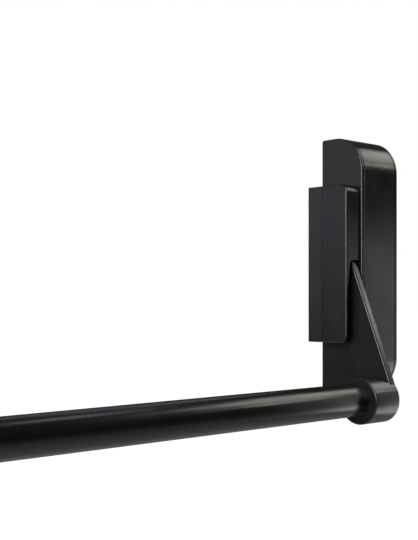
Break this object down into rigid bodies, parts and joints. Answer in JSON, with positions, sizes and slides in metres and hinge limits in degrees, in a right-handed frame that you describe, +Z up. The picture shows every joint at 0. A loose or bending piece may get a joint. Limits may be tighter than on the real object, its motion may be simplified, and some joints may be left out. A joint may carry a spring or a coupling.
{
  "type": "cross-bar panic exit device",
  "caption": "Emergency exit device: a round push bar on two pivoting levers draws back the latch bolt of a tall D-profile lock case; for one leaf of an outward-opening door.",
  "frame": {"origin": "centre of the lock base plate's mounting face, on the door's face", "axes": "+X along the bar towards the latch edge of the door, +Y into the door, +Z up"},
  "size_m": [0.809, 0.096, 0.2705],
  "materials": {
    "housing_black": "satin black powder coat",
    "box_base_black": "satin black powder coat",
    "box_cover_black": "satin black powder coat",
    "lever_black": "satin black powder coat",
    "bar_black": "semi-gloss black coat on steel tube",
    "plated_steel": "zinc plated",
    "ground_steel": "ground",
    "zinc_screws": "zinc plated",
    "black_screws": "black oxide",
    "latch_nickel": "nickel plated",
    "spring_steel": "bright wire",
    "bush_bronze": "sintered",
    "bumper_rubber": "matt",
    "rail_acetal": "natural acetal"
  },
  "bodies": {
    "frame": {"cheek_screws": "zinc_screws", "hinge_bracket_screws": "zinc_screws", "hinge_bumper": "bumper_rubber", "hinge_cover_screw": "black_screws", "hinge_inboard_bush": "bush_bronze", "hinge_joint_screws": "black_screws", "hinge_lever_base": "box_base_black", "hinge_lever_bracket": "plated_steel", "hinge_lever_cover": "box_cover_black", "hinge_outboard_bush": "bush_bronze", "hinge_rest_pin": "plated_steel", "hinge_return_spring": "spring_steel", "hinge_side_plate": "housing_black", "hinge_spring_rod": "plated_steel", "latch_guide": "plated_steel", "latch_guide_screws": "zinc_screws", "lock_base_plate": "plated_steel", "lock_bracket_screws": "zinc_screws", "lock_bumper": "bumper_rubber", "lock_cover_blocks": "plated_steel", "lock_cover_screw": "black_screws", "lock_cover_screws": "black_screws", "lock_front_strip": "housing_black", "lock_inboard_bush": "bush_bronze", "lock_inboard_cheek": "housing_black", "lock_joint_screws": "black_screws", "lock_lever_base": "box_base_black", "lock_lever_bracket": "plated_steel", "lock_lever_cover": "box_cover_black", "lock_outboard_bush": "bush_bronze", "lock_outboard_cheek": "housing_black", "lock_rest_pin": "plated_steel", "lock_return_spring": "spring_steel", "lock_spring_rod": "plated_steel", "slider_rail": "rail_acetal", "slider_rail_screws": "zinc_screws"},
    "push_bar": {"bar_tube": "bar_black", "drive_crank": "plated_steel", "crank_screw": "zinc_screws", "lock_lever_arm": "lever_black", "lock_spindle": "ground_steel", "lock_cross_pin": "ground_steel", "lock_grub_screw": "black_screws", "hinge_lever_arm": "lever_black", "hinge_spindle": "ground_steel", "hinge_cross_pin": "ground_steel", "hinge_grub_screw": "black_screws"},
    "latch": {"latch_slider": "plated_steel", "latch_bolt": "latch_nickel", "latch_pin": "plated_steel"},
    "lock_plunger": {"lock_return_plunger": "ground_steel"},
    "hinge_plunger": {"hinge_return_plunger": "ground_steel"}
  },
  "joints": [
    {"name": "bar_swing", "type": "hinge", "parent": "frame", "child": "push_bar", "pos_m": [-0.397, -0.025, 0.025], "axis": [1, 0, 0], "range_deg": [0, 12], "stiffness_Nm_per_rad": 8, "springref_deg": -17.19},
    {"name": "latch_slide", "type": "slide", "parent": "frame", "child": "latch", "axis": [1, 0, 0], "range_m": [-0.0126, 0]},
    {"name": "lock_plunger_lift", "type": "slide", "parent": "frame", "child": "lock_plunger", "axis": [0, 0, 1], "range_m": [0, 0.0032], "deforming": ["lock_return_spring"]},
    {"name": "hinge_plunger_lift", "type": "slide", "parent": "frame", "child": "hinge_plunger", "axis": [0, 0, 1], "range_m": [0, 0.0032], "deforming": ["hinge_return_spring"]}
  ],
  "couplings": [
    {"joint": "latch_slide", "follows": "bar_swing", "m_per_rad": -0.059719},
    {"joint": "lock_plunger_lift", "follows": "bar_swing", "m_per_rad": 0.014973},
    {"joint": "hinge_plunger_lift", "follows": "bar_swing", "m_per_rad": 0.014973}
  ]
}
